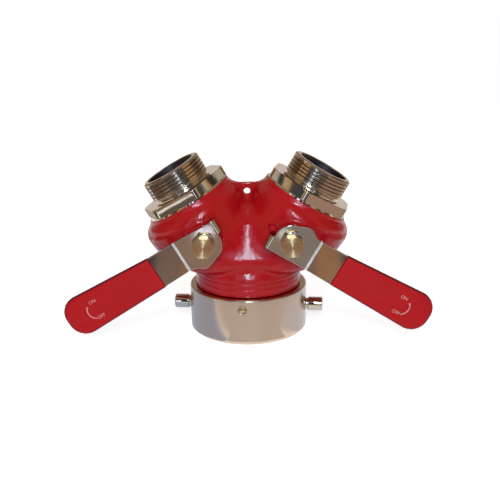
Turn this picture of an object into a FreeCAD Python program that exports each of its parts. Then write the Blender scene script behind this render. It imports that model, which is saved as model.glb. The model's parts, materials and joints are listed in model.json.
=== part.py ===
import FreeCAD, Part
import math
import os
import Sketcher
from FreeCAD import Vector

# Ball wye valve for fire hose, in millimetres. The inlet axis is Z, and the origin is the middle of the
# inlet's mouth. The outlets lean apart in the XZ plane, and the valve stems point to the front, which is -Y.

DIMENSIONS = {
    # Layout of the two branches
    "tilt": 30,
    "wye_height": 27.5,
    "ball_distance": 67.5,
    # Valve ball and waterway
    "ball_radius": 28.5,
    "bore_radius": 19.05,
    "seat_radius": 24.6,
    "seat_depth": 22.4,
    # Cast body
    "face_level": 28.5,
    "drum_radius": 42.3,
    "drum_shift": 3.3,
    "drum_top": 26.3,
    "drum_shoulder": 12,
    "valley_top": 3.5,
    "valley_foot": 20,
    "rim_round": 10,
    "boss_radius": 36.3,
    "bowl_foot": 52,
    "bowl_rise": 18,
    "neck_radius": 43.6,
    "neck_bottom": 38.6,
    "inlet_bore": 31.5,
    "ear_top": 122.7,
    "ear_drop": 2.6,
    "ear_thickness": 4,
    "eye_height": 115.5,
    "eye_radius": 2.75,
    # Outlet adapters
    "thread_radius": 25.27,
    "mouth_level": 56.5,
    "hex_top": 38,
    "hex_bottom": 29.8,
    "hex_flats": 67,
    "hex_corner": 37.8,
    "hex_turn_left": 20.5,
    "hex_turn_right": -9.8,
    "shank_radius": 31,
    "shank_end": 19.5,
    # Swivel inlet
    "collar_radius": 48.6,
    "collar_height": 38,
    "tail_radius": 40.2,
    "tail_bottom": 22.5,
    "race_height": 30.3,
    "race_ball": 2.38,
    "inlet_minor": 36.95,
    "thread_depth": 17.5,
    "pin_height": 18.6,
    "pin_radius": 5.9,
    "pin_reach": 62.5,
    "pin_root": 42.8,
    "collar_turn": -5.8,
    "plug_radius": 3.4,
    # Valve stem, counted to the front from the ball's centre
    "stem_radius": 7,
    "pad_face": 34.2,
    "packing_floor": 39.5,
    "gland_radius": 11.5,
    "stem_boss_radius": 13.8,
    "stem_boss_face": 47.6,
    "lever_back": 49.4,
    "lever_gauge": 4,
    "stem_thread": 4.6,
    "stem_end": 64.3,
    "nut_flats": 15.5,
    "nut_face": 63,
    "washer_gauge": 1.6,
    "stop_radius": 2.6,
    "stop_distance": 17,
    "stop_root": 34,
    "stop_face": 44,
    # Lever and grip, along the lever from the stem
    "lever_width": 25,
    "lever_end_width": 28,
    "head_radius": 14.5,
    "tab_start": 17.6,
    "tab_gauge": 3.2,
    "tab_depth": 6.4,
    "fold_radius": 3.8,
    "bend_start": 19.5,
    "bend_end": 43,
    "crank_rise": 3.7,
    "grip_start": 41,
    "grip_end": 123.2,
    "grip_skin": 1.6,
    "grip_flare": 2.6,
    "grip_tip": 14,
    "grip_edge": 2.2,
}

RACE_BALLS = 30

doc = FreeCAD.newDocument("ball_wye_valve")
sheet = doc.addObject("Spreadsheet::Sheet", "Dim")
for row, (alias, value) in enumerate(DIMENSIONS.items(), 1):
    sheet.set(f"A{row}", alias)
    sheet.set(f"B{row}", str(value))
    sheet.setAlias(f"B{row}", alias)
doc.recompute()

# Frames of the right branch: along the outlet, across to the drum, along the stem and along the lever
BALL_X = "Dim.ball_distance * sin(Dim.tilt)"
BALL_Z = "(Dim.wye_height + Dim.ball_distance * cos(Dim.tilt))"
BALL_CENTRE = f"vector({BALL_X}; 0; {BALL_Z})"
LEAN = "rotation(vector(0; 1; 0); Dim.tilt)"
TO_FRONT = "rotation(vector(1; 0; 0); 90)"
OUTLET = f"placement({BALL_CENTRE}; {LEAN})"
DRUM_CENTRE = (f"vector({BALL_X} + Dim.drum_shift * cos(Dim.tilt); 0; "
               f"{BALL_Z} - Dim.drum_shift * sin(Dim.tilt))")
DRUM = f"placement({DRUM_CENTRE}; {LEAN})"
STEM = f"placement({BALL_CENTRE}; {TO_FRONT} * rotation(vector(0; 0; 1); -Dim.tilt))"
LEFT_STEM = (f"placement(vector(-{BALL_X}; 0; {BALL_Z}); "
             f"{TO_FRONT} * rotation(vector(0; 0; 1); 180 + Dim.tilt))")
LEVER_FRAMES = {"right": STEM, "left": LEFT_STEM}
COLLAR = "placement(vector(0; 0; 0); rotation(vector(0; 0; 1); Dim.collar_turn))"
RACE_LOW = "Dim.race_height - Dim.race_ball - 0.1"
RACE_HIGH = "Dim.race_height + Dim.race_ball + 0.1"


def profile(body, name, plane, corners, level=None):
    """A closed sketch of straight lines whose corners are held to the sheet by expressions."""
    sketch = body.newObject("Sketcher::SketchObject", name)
    support = next(item for item in body.Origin.OriginFeatures if item.Role == plane)
    sketch.AttachmentSupport = (support, [""])
    sketch.MapMode = "FlatFace"
    if level:
        sketch.setExpression("AttachmentOffset.Base.z", level)
    count = len(corners)
    turns = [2 * math.pi * i / count for i in range(count)]
    start = [Vector(math.cos(turn), math.sin(turn), 0) for turn in turns]
    for i in range(count):
        sketch.addGeometry(Part.LineSegment(start[i], start[(i + 1) % count]), False)
    for i in range(count):
        sketch.addConstraint(Sketcher.Constraint("Coincident", i, 2, (i + 1) % count, 1))
    for i, (across, along) in enumerate(corners):
        for kind, place, guess in (("DistanceX", across, start[i].x), ("DistanceY", along, start[i].y)):
            index = sketch.addConstraint(Sketcher.Constraint(kind, -1, 1, i, 1, guess))
            sketch.setExpression(f"Constraints[{index}]", str(place))
    return sketch


def turned(name, corners, frame=None):
    """A lathe-turned piece: corners are (radius, height) about its own axis, which is Z of its frame."""
    body = doc.addObject("PartDesign::Body", name)
    sketch = profile(body, name + "_section", "XZ_Plane", corners)
    turn = body.newObject("PartDesign::Revolution", name + "_turn")
    turn.Profile = sketch
    turn.ReferenceAxis = (sketch, ["V_Axis"])
    turn.Angle = 360
    if frame:
        body.setExpression("Placement", frame)
    doc.recompute()
    return body


def prism(name, corners, depth, frame=None, plane="XY_Plane", level=None, middle=False):
    """A straight-sided piece padded from an outline."""
    body = doc.addObject("PartDesign::Body", name)
    pad = body.newObject("PartDesign::Pad", name + "_pad")
    pad.Profile = profile(body, name + "_outline", plane, corners, level)
    pad.setExpression("Length", str(depth))
    pad.Midplane = middle
    if frame:
        body.setExpression("Placement", frame)
    doc.recompute()
    return body


def rectangle(half_across, half_along):
    """The outline of a block about the middle of its frame."""
    return [(-half_across, -half_along), (half_across, -half_along), (half_across, half_along),
            (-half_across, half_along)]


def round_edges(body, name, radius, wanted):
    """Fillet the edges of a body's tip for which wanted(edge) is true."""
    base = body.Tip
    names = [f"Edge{i}" for i, edge in enumerate(base.Shape.Edges, 1) if wanted(edge)]
    fillet = body.newObject("PartDesign::Fillet", name)
    fillet.Base = (base, names)
    fillet.setExpression("Radius", str(radius))
    doc.recompute()


def ring_edge(radius, height):
    """A test for the full circle of this radius at this height on the turning axis."""
    def test(edge):
        curve = edge.Curve
        return (isinstance(curve, Part.Circle) and abs(curve.Radius - radius) < 0.01
                and abs(curve.Center.z - height) < 0.01)
    return test


def mill_hex(body, name, flats, level, depth, angle):
    """Mill six flats on a turned blank, from level up by depth."""
    far = f"({flats}) * 1.6"
    near = f"({flats}) / 2"
    corners = [(near, f"-{far}"), (far, f"-{far}"), (far, far), (near, far)]
    sketch = profile(body, name + "_cutter", "XY_Plane", corners, level)
    sketch.setExpression("AttachmentOffset.Rotation.Angle", angle)
    cut = body.newObject("PartDesign::Pocket", name + "_flat")
    cut.Profile = sketch
    cut.setExpression("Length", depth)
    cut.Reversed = True
    doc.recompute()
    pattern = body.newObject("PartDesign::PolarPattern", name + "_flats")
    pattern.Originals = [cut]
    pattern.Axis = (sketch, ["N_Axis"])
    pattern.Angle = 360
    pattern.Occurrences = 6
    body.Tip = pattern
    doc.recompute()


def shift(across="0", along="0", up="0"):
    """A move without a turn, to write behind a frame."""
    return f"placement(vector({across}; {along}; {up}); rotation(vector(0; 0; 1); 0))"


def cylinder(name, radius, length, frame, level="0"):
    """A plain cylinder along Z of a frame, starting at level."""
    item = doc.addObject("Part::Cylinder", name)
    item.setExpression("Radius", str(radius))
    item.setExpression("Height", str(length))
    item.setExpression("Placement", f"{frame} * {shift(up=level)}")
    return item


def fuse(name, *pieces):
    item = doc.addObject("Part::MultiFuse", name)
    item.Shapes = list(pieces)
    item.Refine = True
    doc.recompute()
    return item


def common(name, *pieces):
    item = doc.addObject("Part::MultiCommon", name)
    item.Shapes = list(pieces)
    item.Refine = True
    doc.recompute()
    return item


def cut(name, base, tool):
    item = doc.addObject("Part::Cut", name)
    item.Base = base
    item.Tool = tool
    item.Refine = True
    doc.recompute()
    return item


def mirrored(name, source):
    """The left-hand twin of a right-hand piece."""
    item = doc.addObject("Part::Mirroring", name)
    item.Source = source
    item.Normal = Vector(1, 0, 0)
    doc.recompute()
    return item


nodes = {}


def keep(name, item):
    item.Label = name
    nodes[name] = item
    return item


def keep_pair(name, right_item):
    keep("right_" + name, right_item)
    keep("left_" + name, mirrored("left_" + name, right_item))


# Cast body: two drums inside a round bowl, on a ringed neck, with a web and an eye between the outlets
def drum_blank():
    body = turned("drum_blank", [(0, -66), ("Dim.drum_radius", -66), ("Dim.drum_radius", "Dim.drum_top"),
                                 (0, "Dim.drum_top")], DRUM)
    top_edge = ring_edge(DIMENSIONS["drum_radius"], DIMENSIONS["drum_top"])
    round_edges(body, "drum_shoulder", "Dim.drum_shoulder", top_edge)
    return body


def bowl_blank():
    """The cone that trims the drums below and outside."""
    far = 90
    return turned("bowl_blank", [(0, "Dim.bowl_foot - 8"), (42, "Dim.bowl_foot - 8"), (43, "Dim.bowl_foot"),
                                 (far, "Dim.bowl_foot + Dim.bowl_rise"), (far, 150), (0, 150)])


def round_shell(shell):
    """Round the valley where the drums meet, more towards its foot, and the rim where the cone trims them."""
    narrow, wide, rim = DIMENSIONS["valley_top"], DIMENSIONS["valley_foot"], DIMENSIONS["rim_round"]
    rounds = []
    for index, edge in enumerate(shell.Shape.Edges, 1):
        if edge.Length < DIMENSIONS["drum_radius"]:
            continue
        if max(abs(edge.BoundBox.XMin), abs(edge.BoundBox.XMax)) < 0.05:
            falling = edge.firstVertex().Z > edge.lastVertex().Z
            rounds.append((index, narrow, wide) if falling else (index, wide, narrow))
        elif isinstance(edge.Curve, Part.BSplineCurve):
            rounds.append((index, rim, rim))
    item = doc.addObject("Part::Fillet", "rounded_shell")
    item.Base = shell
    item.Edges = rounds
    doc.recompute()
    return item


def neck_blank():
    ring, groove, root = "Dim.neck_radius", "Dim.neck_radius - 0.8", "Dim.neck_radius - 3"
    tail, bottom, race = "Dim.tail_radius", "Dim.tail_bottom", "Dim.tail_radius - Dim.race_ball"
    section = [(0, bottom), (tail, bottom), (tail, RACE_LOW), (race, RACE_LOW), (race, RACE_HIGH),
               (tail, RACE_HIGH), (tail, "Dim.neck_bottom")]
    steps = [(ring, 0), (ring, 5.6), (groove, 6.2), (groove, 7), (ring, 7.6), (ring, 10), (groove, 10.6),
             (groove, 11.2), (ring, 11.8), (ring, 14.5), (root, 21), (root, 30), (0, 30)]
    section += [(radius, f"Dim.neck_bottom + {rise}") for radius, rise in steps]
    return turned("neck_blank", section)


def ear_blank():
    """The web between the outlets, with a low crown over the eye."""
    top, side_top = "Dim.ear_top", "Dim.ear_top - Dim.ear_drop"
    foot, side = 95, 20
    crown = [(11.5, side_top), (8, f"{top} - 1.5"), (4, f"{top} - 0.35")]
    left_crown = [(-across, up) for across, up in reversed(crown)]
    outline = [(-side, foot), (side, foot), (side, side_top), *crown, (0, top), *left_crown,
               (-side, side_top)]
    return prism("ear_blank", outline, "Dim.ear_thickness", plane="XZ_Plane", middle=True)


def chamber_tool():
    """The cored and bored hollow of one branch, from the outlet face down to the neck."""
    bore, seat, chamber = "Dim.bore_radius", "Dim.seat_radius + 0.1", "Dim.shank_radius + 0.05"
    floor, above = "-Dim.seat_depth", "Dim.face_level + 1"
    return turned("chamber_tool", [(0, -62), (bore, -62), (bore, floor), (seat, floor), (seat, -15),
                                   (chamber, -11), (chamber, above), (0, above)], OUTLET)


def stem_hole_tool():
    """The stem's stepped hole, with a spot face for its shoulder inside and a gland pocket outside."""
    shoulder, face = "Dim.stem_radius + 3.3", "Dim.pad_face"
    stem, gland, floor = "Dim.stem_radius + 0.15", "Dim.gland_radius", "Dim.packing_floor"
    inside, outside = 24, 50
    return turned("stem_hole_tool", [
        (0, inside), (shoulder, inside), (shoulder, face), (stem, face), (stem, floor), (gland, floor),
        (gland, outside), (0, outside)], STEM)


def inlet_tool():
    return turned("inlet_tool", [(0, 20), ("Dim.inlet_bore", 20), ("Dim.inlet_bore", 52), (16, 66), (0, 66)])


# Angles from the lever at which the tab meets a stop, shut and open
STOP_ANGLES = {"right": {"shut": 176.5, "open": 320.5}, "left": {"shut": 230.5, "open": 86.7}}


def stop_lugs():
    """Cast lugs that the lever's tab meets when shut and when open."""
    lugs = []
    for side, angles in STOP_ANGLES.items():
        for state, angle in angles.items():
            place = shift(f"Dim.stop_distance * cos({angle})", f"Dim.stop_distance * sin({angle})")
            lugs.append(cylinder(f"{side}_{state}_stop", "Dim.stop_radius", "Dim.stop_face - Dim.stop_root",
                                 f"{LEVER_FRAMES[side]} * {place}", "Dim.stop_root"))
    return lugs


def make_body():
    drum = drum_blank()
    drums = fuse("drum_pair", drum, mirrored("left_drum_blank", drum))
    shell = round_shell(common("drum_shell", drums, bowl_blank()))
    boss = cylinder("outlet_boss", "Dim.boss_radius", "Dim.face_level - 15", OUTLET, "15")
    left_boss = mirrored("left_outlet_boss", boss)
    casting = fuse("casting_blank", shell, neck_blank(), ear_blank(), boss, left_boss)
    chamber = chamber_tool()
    hollow = fuse("hollow_tool", chamber, mirrored("left_chamber_tool", chamber), inlet_tool())
    cored = cut("cored_casting", casting, hollow)
    pad_height = "Dim.stem_boss_face - Dim.pad_face"
    pad = cylinder("stem_boss", "Dim.stem_boss_radius", pad_height, STEM, "Dim.pad_face")
    bossed = fuse("bossed_casting", cored, pad, mirrored("left_stem_boss", pad), *stop_lugs())
    hole = stem_hole_tool()
    eye_frame = f"placement(vector(0; 30; Dim.eye_height); {TO_FRONT})"
    eye = cylinder("eye_tool", "Dim.eye_radius", 60, eye_frame)
    tools = fuse("drill_tools", hole, mirrored("left_stem_hole_tool", hole), eye)
    return cut("wye_body", bossed, tools)


keep("wye_body", make_body())


# Outlet adapters: turned from bar with a hose thread, a milled hex and a seat pocket
def make_adapter(side, turn):
    frame = OUTLET.replace("Dim.tilt", "-Dim.tilt") if side == "left" else OUTLET
    bore, pocket, face = "Dim.bore_radius", "Dim.seat_radius + 0.1", "Dim.face_level"
    shank, groove, end = "Dim.shank_radius", "Dim.shank_radius - 2.2", "Dim.shank_end"
    washer, corner = "Dim.boss_radius - 0.9", "Dim.hex_corner"
    low, high = "Dim.hex_bottom", "Dim.hex_top"
    thread, undercut, top = "Dim.thread_radius", "Dim.thread_radius - 1.9", "Dim.mouth_level"
    seat_pocket = [(bore, "Dim.seat_depth"), (pocket, "Dim.seat_depth"), (pocket, end)]
    plug = [(f"{shank} - 0.8", end), (shank, f"{end} + 0.8"), (shank, 25), (groove, 25), (groove, 28),
            (shank, 28)]
    flange = [(shank, face), (washer, face), (washer, low), (corner, low), (corner, f"{high} - 0.7"),
              (f"{corner} - 1.4", high)]
    nipple = [(undercut, high), (undercut, f"{high} + 1.6"), (thread, f"{high} + 2.2"),
              (thread, f"{top} - 1.4"), (f"{thread} - 1.6", top)]
    mouth = [(f"{bore} + 2.2", top), (f"{bore} + 1.6", f"{top} - 0.7"), (bore, f"{top} - 14")]
    body = turned(side + "_outlet_adapter", seat_pocket + plug + flange + nipple + mouth, frame)
    mill_hex(body, side + "_hex", "Dim.hex_flats", low, f"{high} - {low}", turn)
    return body


keep("right_outlet_adapter", make_adapter("right", "Dim.hex_turn_right"))
keep("left_outlet_adapter", make_adapter("left", "Dim.hex_turn_left"))


def make_o_ring():
    item = doc.addObject("Part::Torus", "outlet_o_ring")
    item.setExpression("Radius1", "Dim.shank_radius - 1.1")
    item.Radius2 = 1.05
    item.setExpression("Placement", f"{OUTLET} * {shift(up='26.5')}")
    doc.recompute()
    return item


keep_pair("outlet_o_ring", make_o_ring())


# Seats: plastic rings whose cone touches the ball on one circle
def make_seat(name, sign):
    touch, gap, lip = 21.8, 0.3, 16.2
    radius = DIMENSIONS["ball_radius"]
    level = math.sqrt(radius ** 2 - touch ** 2)
    slope = touch / level
    contact_r, contact_l = touch * (1 + gap / radius), level * (1 + gap / radius)
    lip_r = contact_r + (contact_l - lip) / slope
    inner_r = DIMENSIONS["bore_radius"] + 0.4
    inner_l = contact_l + (contact_r - inner_r) * slope
    inner, outer, back = "Dim.bore_radius + 0.4", "Dim.seat_radius", f"{sign} * (Dim.seat_depth - 0.05)"
    return turned(name, [(inner, back), (outer, back), (outer, sign * lip), (lip_r, sign * lip),
                         (inner, sign * inner_l)], OUTLET)


keep_pair("outer_seat", make_seat("outer_seat", 1))
keep_pair("inner_seat", make_seat("inner_seat", -1))


# Stem seals, in the boss of the body
def ring(name, inner, outer, low, high):
    return turned(name, [(inner, low), (outer, low), (outer, high), (inner, high)], STEM)


STEM_CLEAR = "Dim.stem_radius + 0.1"
GLAND = "Dim.gland_radius - 0.05"
PACKING_TOP = "Dim.packing_floor + 4"
keep_pair("thrust_washer", ring("thrust_washer", STEM_CLEAR, "Dim.stem_radius + 3", "Dim.pad_face - 1.2",
                                "Dim.pad_face"))
keep_pair("stem_packing", ring("stem_packing", STEM_CLEAR, GLAND, "Dim.packing_floor", PACKING_TOP))


def make_gland_nut():
    """A threaded ring with a spanner slot across its face."""
    body = ring("gland_nut_blank", STEM_CLEAR, GLAND, PACKING_TOP, "Dim.lever_back - 0.6")
    slot = prism("gland_slot", rectangle(20, 1.5), 10, STEM, level="Dim.stem_boss_face - 0.8")
    return cut("gland_nut", body, slot)


keep_pair("gland_nut", make_gland_nut())


# Valve ball, drilled along the lever and slotted for the stem
def make_ball():
    sphere = doc.addObject("Part::Sphere", "ball_blank")
    sphere.setExpression("Radius", "Dim.ball_radius")
    sphere.setExpression("Placement", STEM)
    reach = "1.2 * Dim.ball_radius"
    across = f"{STEM} * placement(vector(-{reach}; 0; 0); rotation(vector(0; 1; 0); 90))"
    bore = cylinder("ball_bore", "Dim.bore_radius", f"2 * {reach}", across)
    slot = prism("ball_slot", rectangle(3.1, 30), 10, STEM, level="Dim.ball_radius - 5")
    return cut("ball", sphere, fuse("ball_tools", bore, slot))


keep_pair("ball", make_ball())


# Stem: tang in the ball, shoulder under the thrust washer, square for the lever and a threaded end
def make_stem():
    radius, shoulder, tip = "Dim.stem_radius", "Dim.stem_radius + 2.9", "Dim.stem_thread"
    start, seat = "Dim.ball_radius + 0.3", "Dim.pad_face - 1.25"
    land, end = "Dim.lever_back - 0.05", "Dim.stem_end"
    shaft = turned("stem_shaft", [
        (0, start), (shoulder, start), (shoulder, seat), (radius, seat), (radius, land), (tip, land),
        (tip, f"{end} - 1"), (f"{tip} - 1", end), (0, end)], STEM)
    tang = prism("stem_tang", rectangle(3, 9), 7, STEM, level="Dim.ball_radius - 4.8")
    square = prism("stem_square", rectangle(4.6, 4.6), "Dim.lever_gauge - 0.3", STEM, level=land)
    return fuse("stem", shaft, tang, square)


keep_pair("stem", make_stem())


# Lever: a cranked steel strip, cut by its outline from a bent section, with a stop tab folded to the body
BACK = "Dim.lever_back"
FRONT = "(Dim.lever_back + Dim.lever_gauge)"
METAL_END = "(Dim.grip_end - 6)"
TAB_FOLD = "-Dim.tab_start + Dim.tab_gauge"
TAB_EDGE = -2


def lever_section(side, frame):
    """The bent strip seen from the side: along the lever, and to the front."""
    tab_end, raised = f"{BACK} - Dim.tab_depth", f"{BACK} + Dim.crank_rise"
    raised_front = f"{raised} + Dim.lever_gauge"
    back = [("-Dim.tab_start", tab_end), (TAB_FOLD, tab_end), (TAB_FOLD, BACK), ("Dim.bend_start", BACK),
            ("Dim.bend_end", raised), (METAL_END, raised)]
    front = [(METAL_END, raised_front), ("Dim.bend_end - 0.5", raised_front), ("Dim.bend_start - 0.5", FRONT),
             ("-Dim.tab_start", FRONT)]
    section = prism(side + "_lever_section", back + front, 80, frame, plane="XZ_Plane", middle=True)
    fold_front = DIMENSIONS["lever_back"] + DIMENSIONS["lever_gauge"] - 0.1
    round_edges(section, side + "_tab_fold", "Dim.fold_radius",
                lambda e: e.BoundBox.XMax < 0.1 - DIMENSIONS["tab_start"] and e.BoundBox.ZMin > fold_front)
    return section


def lever_outline(side, frame):
    """The strip seen from the front: a head with one straight and one round side, on a strip that widens."""
    start, end, head = "(Dim.lever_width / 2)", "(Dim.lever_end_width / 2)", "Dim.head_radius"
    level = f"{BACK} - 10"
    shoulder = [(17, start), (14, f"{start} + 1.2"), (9.2, f"{head} + 2.8"), (5.5, f"{head} + 3.5"),
                (-3, f"{head} - 0.3")]
    outline = [("-Dim.tab_start", f"-{start}"), (METAL_END, f"-{end}"), (METAL_END, end), *shoulder,
               (TAB_FOLD, TAB_EDGE + 1), ("-Dim.tab_start", TAB_EDGE)]
    strip = prism(side + "_lever_strip", outline, 30, frame, level=level)
    return fuse(side + "_lever_outline", strip, cylinder(side + "_lever_head", head, 30, frame, level))


def make_lever(side, frame):
    plate = common(side + "_lever_plate", lever_section(side, frame), lever_outline(side, frame))
    square = prism(side + "_lever_square", rectangle(4.7, 4.7), 20, frame, level=f"{BACK} - 8")
    outline = [(-30, TAB_EDGE), (TAB_FOLD, TAB_EDGE), (TAB_FOLD, 20), (-30, 20)]
    beside = prism(side + "_tab_trim", outline, 10, frame, level=f"{BACK} - 10")
    return cut(side + "_lever", plate, fuse(side + "_lever_tools", square, beside))


# Grip: a dipped vinyl sleeve that widens to a round tip
def upright(edge):
    """True for a straight edge through the thickness of a padded piece."""
    return edge.BoundBox.XLength < 0.01 and edge.BoundBox.YLength < 0.01


def make_grip(side, frame, lever):
    start, end = "(Dim.lever_width / 2 + 0.8)", "(Dim.lever_end_width / 2 + Dim.grip_flare)"
    near, far = "Dim.grip_start", "Dim.grip_end"
    thickness, level = "Dim.lever_gauge + 2 * Dim.grip_skin", f"{BACK} + Dim.crank_rise - Dim.grip_skin"
    outline = [(near, f"-{start}"), (far, f"-{end}"), (far, end), (near, start)]
    body = prism(side + "_grip_blank", outline, thickness, frame, level=level)
    tip = DIMENSIONS["grip_end"] - 1
    middle = (DIMENSIONS["grip_start"] + DIMENSIONS["grip_end"]) / 2
    round_edges(body, side + "_grip_tip", "Dim.grip_tip", lambda e: upright(e) and e.BoundBox.XMin > tip)
    round_edges(body, side + "_grip_edge", "Dim.grip_edge",
                lambda e: not upright(e) and e.BoundBox.XMax > middle)
    return cut(side + "_grip", body, lever)


for side, frame in LEVER_FRAMES.items():
    lever = keep(side + "_lever", make_lever(side, frame))
    keep(side + "_grip", make_grip(side, frame, lever))


# Spring washer and hex nut on each stem
def make_lock_washer():
    blank = ring("lock_washer_blank", "Dim.stem_thread + 0.3", 9, FRONT, f"{FRONT} + Dim.washer_gauge")
    outline = [(0, -0.6), (20, -0.6), (20, 0.6), (0, 0.6)]
    split = prism("washer_split", outline, 10, STEM, level=f"{FRONT} - 2")
    return cut("lock_washer", blank, split)


def make_stem_nut():
    low, high, reach = f"{FRONT} + Dim.washer_gauge", "Dim.nut_face", "Dim.nut_flats / 2"
    corner, bore = f"{reach} * 1.155", "Dim.stem_thread + 0.05"
    body = turned("stem_nut", [(bore, low), (reach, low), (corner, f"{low} + 1"), (corner, f"{high} - 1"),
                               (reach, high), (bore, high)], STEM)
    mill_hex(body, "nut_hex", "Dim.nut_flats", low, f"{high} - ({low})", "5")
    return body


keep_pair("lock_washer", make_lock_washer())
keep_pair("stem_nut", make_stem_nut())


# Inlet swivel: collar with hose thread, ball race and two spanner pins
RADIAL_RIGHT = f"{COLLAR} * placement(vector(0; 0; Dim.pin_height); rotation(vector(0; 1; 0); 90))"
RADIAL_LEFT = f"{COLLAR} * placement(vector(0; 0; Dim.pin_height); rotation(vector(0; 1; 0); -90))"
RADIAL_FRONT = f"{COLLAR} * placement(vector(0; 0; Dim.race_height); {TO_FRONT})"


def make_collar():
    wall, top, bore = "Dim.collar_radius", "Dim.collar_height", "Dim.tail_radius + 0.3"
    minor, depth = "Dim.inlet_minor", "Dim.thread_depth"
    race = "Dim.tail_radius + Dim.race_ball + 0.3"
    outside = [(minor, 0), (f"{wall} - 1.6", 0), (wall, 1.6), (wall, f"{top} - 0.8"), (f"{wall} - 0.8", top)]
    inside = [(bore, top), (bore, RACE_HIGH), (race, RACE_HIGH), (race, RACE_LOW), (bore, RACE_LOW),
              (bore, depth), (minor, depth)]
    blank = turned("collar_blank", outside + inside, COLLAR)
    pin, root = "Dim.pin_radius", "Dim.pin_root"
    holes = fuse("collar_holes", cylinder("right_pin_hole", pin, 20, RADIAL_RIGHT, root),
                 cylinder("left_pin_hole", pin, 20, RADIAL_LEFT, root),
                 cylinder("plug_hole", "Dim.plug_radius", 20, RADIAL_FRONT, "Dim.tail_radius + 1"))
    return cut("inlet_swivel", blank, holes)


def make_pin(name, frame):
    """A pin with a groove where it leaves the collar."""
    full, groove, wall = "Dim.pin_radius - 0.03", "Dim.pin_radius - 1", "Dim.collar_radius"
    root, end = "Dim.pin_root", "Dim.pin_reach"
    return turned(name, [
        (0, root), (full, root), (full, wall), (groove, f"{wall} + 0.4"), (groove, f"{wall} + 1.6"),
        (full, f"{wall} + 2.2"), (full, f"{end} - 0.8"), (f"{full} - 0.9", end), (0, end)], frame)


def make_plug():
    """A screw plug with a slot, flush in the collar."""
    radius, high = "Dim.plug_radius - 0.03", "Dim.collar_radius - 0.3"
    low = "Dim.tail_radius + Dim.race_ball + 0.4"
    blank = turned("plug_blank", [(0, low), (radius, low), (radius, high), (0, high)], RADIAL_FRONT)
    slot = prism("plug_slot", rectangle(5, 0.5), 5, RADIAL_FRONT, level=f"{high} - 1.1")
    return cut("race_plug", blank, slot)


def make_race_balls():
    """The ring of loose balls, one group of separate solids."""
    pitch = DIMENSIONS["tail_radius"] + 0.15
    radius, level = DIMENSIONS["race_ball"], DIMENSIONS["race_height"]
    first = math.radians(270 + DIMENSIONS["collar_turn"] + 180 / RACE_BALLS)
    angles = [first + 2 * math.pi * i / RACE_BALLS for i in range(RACE_BALLS)]
    balls = [Part.makeSphere(radius, Vector(pitch * math.cos(a), pitch * math.sin(a), level)) for a in angles]
    item = doc.addObject("Part::Feature", "swivel_balls")
    item.Shape = Part.makeCompound(balls)
    return item


def make_gasket():
    inner, outer = "Dim.inlet_bore + 0.5", "Dim.tail_radius"
    return turned("inlet_gasket", [(inner, "Dim.thread_depth"), (outer, "Dim.thread_depth"),
                                   (outer, "Dim.tail_bottom - 0.3"), (inner, "Dim.tail_bottom - 0.3")])


keep("inlet_swivel", make_collar())
keep("right_lug_pin", make_pin("right_lug_pin", RADIAL_RIGHT))
keep("left_lug_pin", make_pin("left_lug_pin", RADIAL_LEFT))
keep("race_plug", make_plug())
keep("swivel_balls", make_race_balls())
keep("inlet_gasket", make_gasket())

doc.recompute()
failed = [item.Name for item in doc.Objects if {"Invalid", "Error"} & set(item.State)]
broken = [name for name, item in nodes.items() if item.Shape.isNull() or not item.Shape.isValid()]
if failed or broken:
    raise RuntimeError(f"failed objects {failed}, broken shapes {broken}")

os.makedirs("parts", exist_ok=True)
for name, item in nodes.items():
    item.Shape.exportStep(f"parts/{name}.step")
    print(name, round(item.Shape.Volume), len(item.Shape.Solids), "solid")
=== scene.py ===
import json
import math

import bmesh
import bpy
import numpy as np
import openvdb
from mathutils import Matrix, Vector


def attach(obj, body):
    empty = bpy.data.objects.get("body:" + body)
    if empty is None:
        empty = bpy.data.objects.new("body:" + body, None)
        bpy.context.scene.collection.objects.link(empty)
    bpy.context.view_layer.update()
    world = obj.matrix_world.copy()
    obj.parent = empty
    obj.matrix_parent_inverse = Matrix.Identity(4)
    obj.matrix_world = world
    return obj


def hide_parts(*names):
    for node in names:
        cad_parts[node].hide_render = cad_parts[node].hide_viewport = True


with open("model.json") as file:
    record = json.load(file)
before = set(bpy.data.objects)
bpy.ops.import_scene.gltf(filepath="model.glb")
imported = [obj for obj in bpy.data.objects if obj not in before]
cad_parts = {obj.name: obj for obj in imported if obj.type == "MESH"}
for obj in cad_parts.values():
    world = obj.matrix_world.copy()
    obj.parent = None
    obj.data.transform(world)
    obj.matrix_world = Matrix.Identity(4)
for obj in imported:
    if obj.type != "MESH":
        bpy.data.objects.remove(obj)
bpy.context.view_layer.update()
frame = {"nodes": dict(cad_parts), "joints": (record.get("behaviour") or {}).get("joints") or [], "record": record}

# Ball wye valve. Lengths are in millimetres, and go to metres when a mesh is made.
MM = 0.001
SIDES = {"right": 1, "left": -1}
SCENE = bpy.context.scene

# Layout, from the frame's joints and mounts
joints = {joint["name"]: joint for joint in frame["joints"]}
mounts = {mount["name"]: mount for mount in frame["record"]["mounts"]}
BALL_X, _, BALL_Z = [value / MM for value in joints["right_valve_turn"]["pos_m"]]
LEAN_X, _, LEAN_Z = mounts["right_outlet"]["axis"]
THREAD_RADIUS = mounts["right_outlet"]["dims"]["r_mm"]
INLET_MINOR = mounts["inlet"]["dims"]["r_mm"]
INLET_DEPTH = mounts["inlet"]["dims"]["length_mm"]
EYE_HEIGHT = mounts["tether_eye"]["pos_m"][2] / MM
EYE_RADIUS = mounts["tether_eye"]["dims"]["r_mm"]
COLLAR_TURN = math.radians(-5.8)
BORE_RADIUS = 19.05


def place(origin, x_axis, z_axis):
    """A frame from its origin and two of its axes."""
    x_axis, z_axis = Vector(x_axis), Vector(z_axis)
    matrix = Matrix((x_axis, z_axis.cross(x_axis), z_axis)).transposed().to_4x4()
    matrix.translation = Vector(origin)
    return matrix


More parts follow.
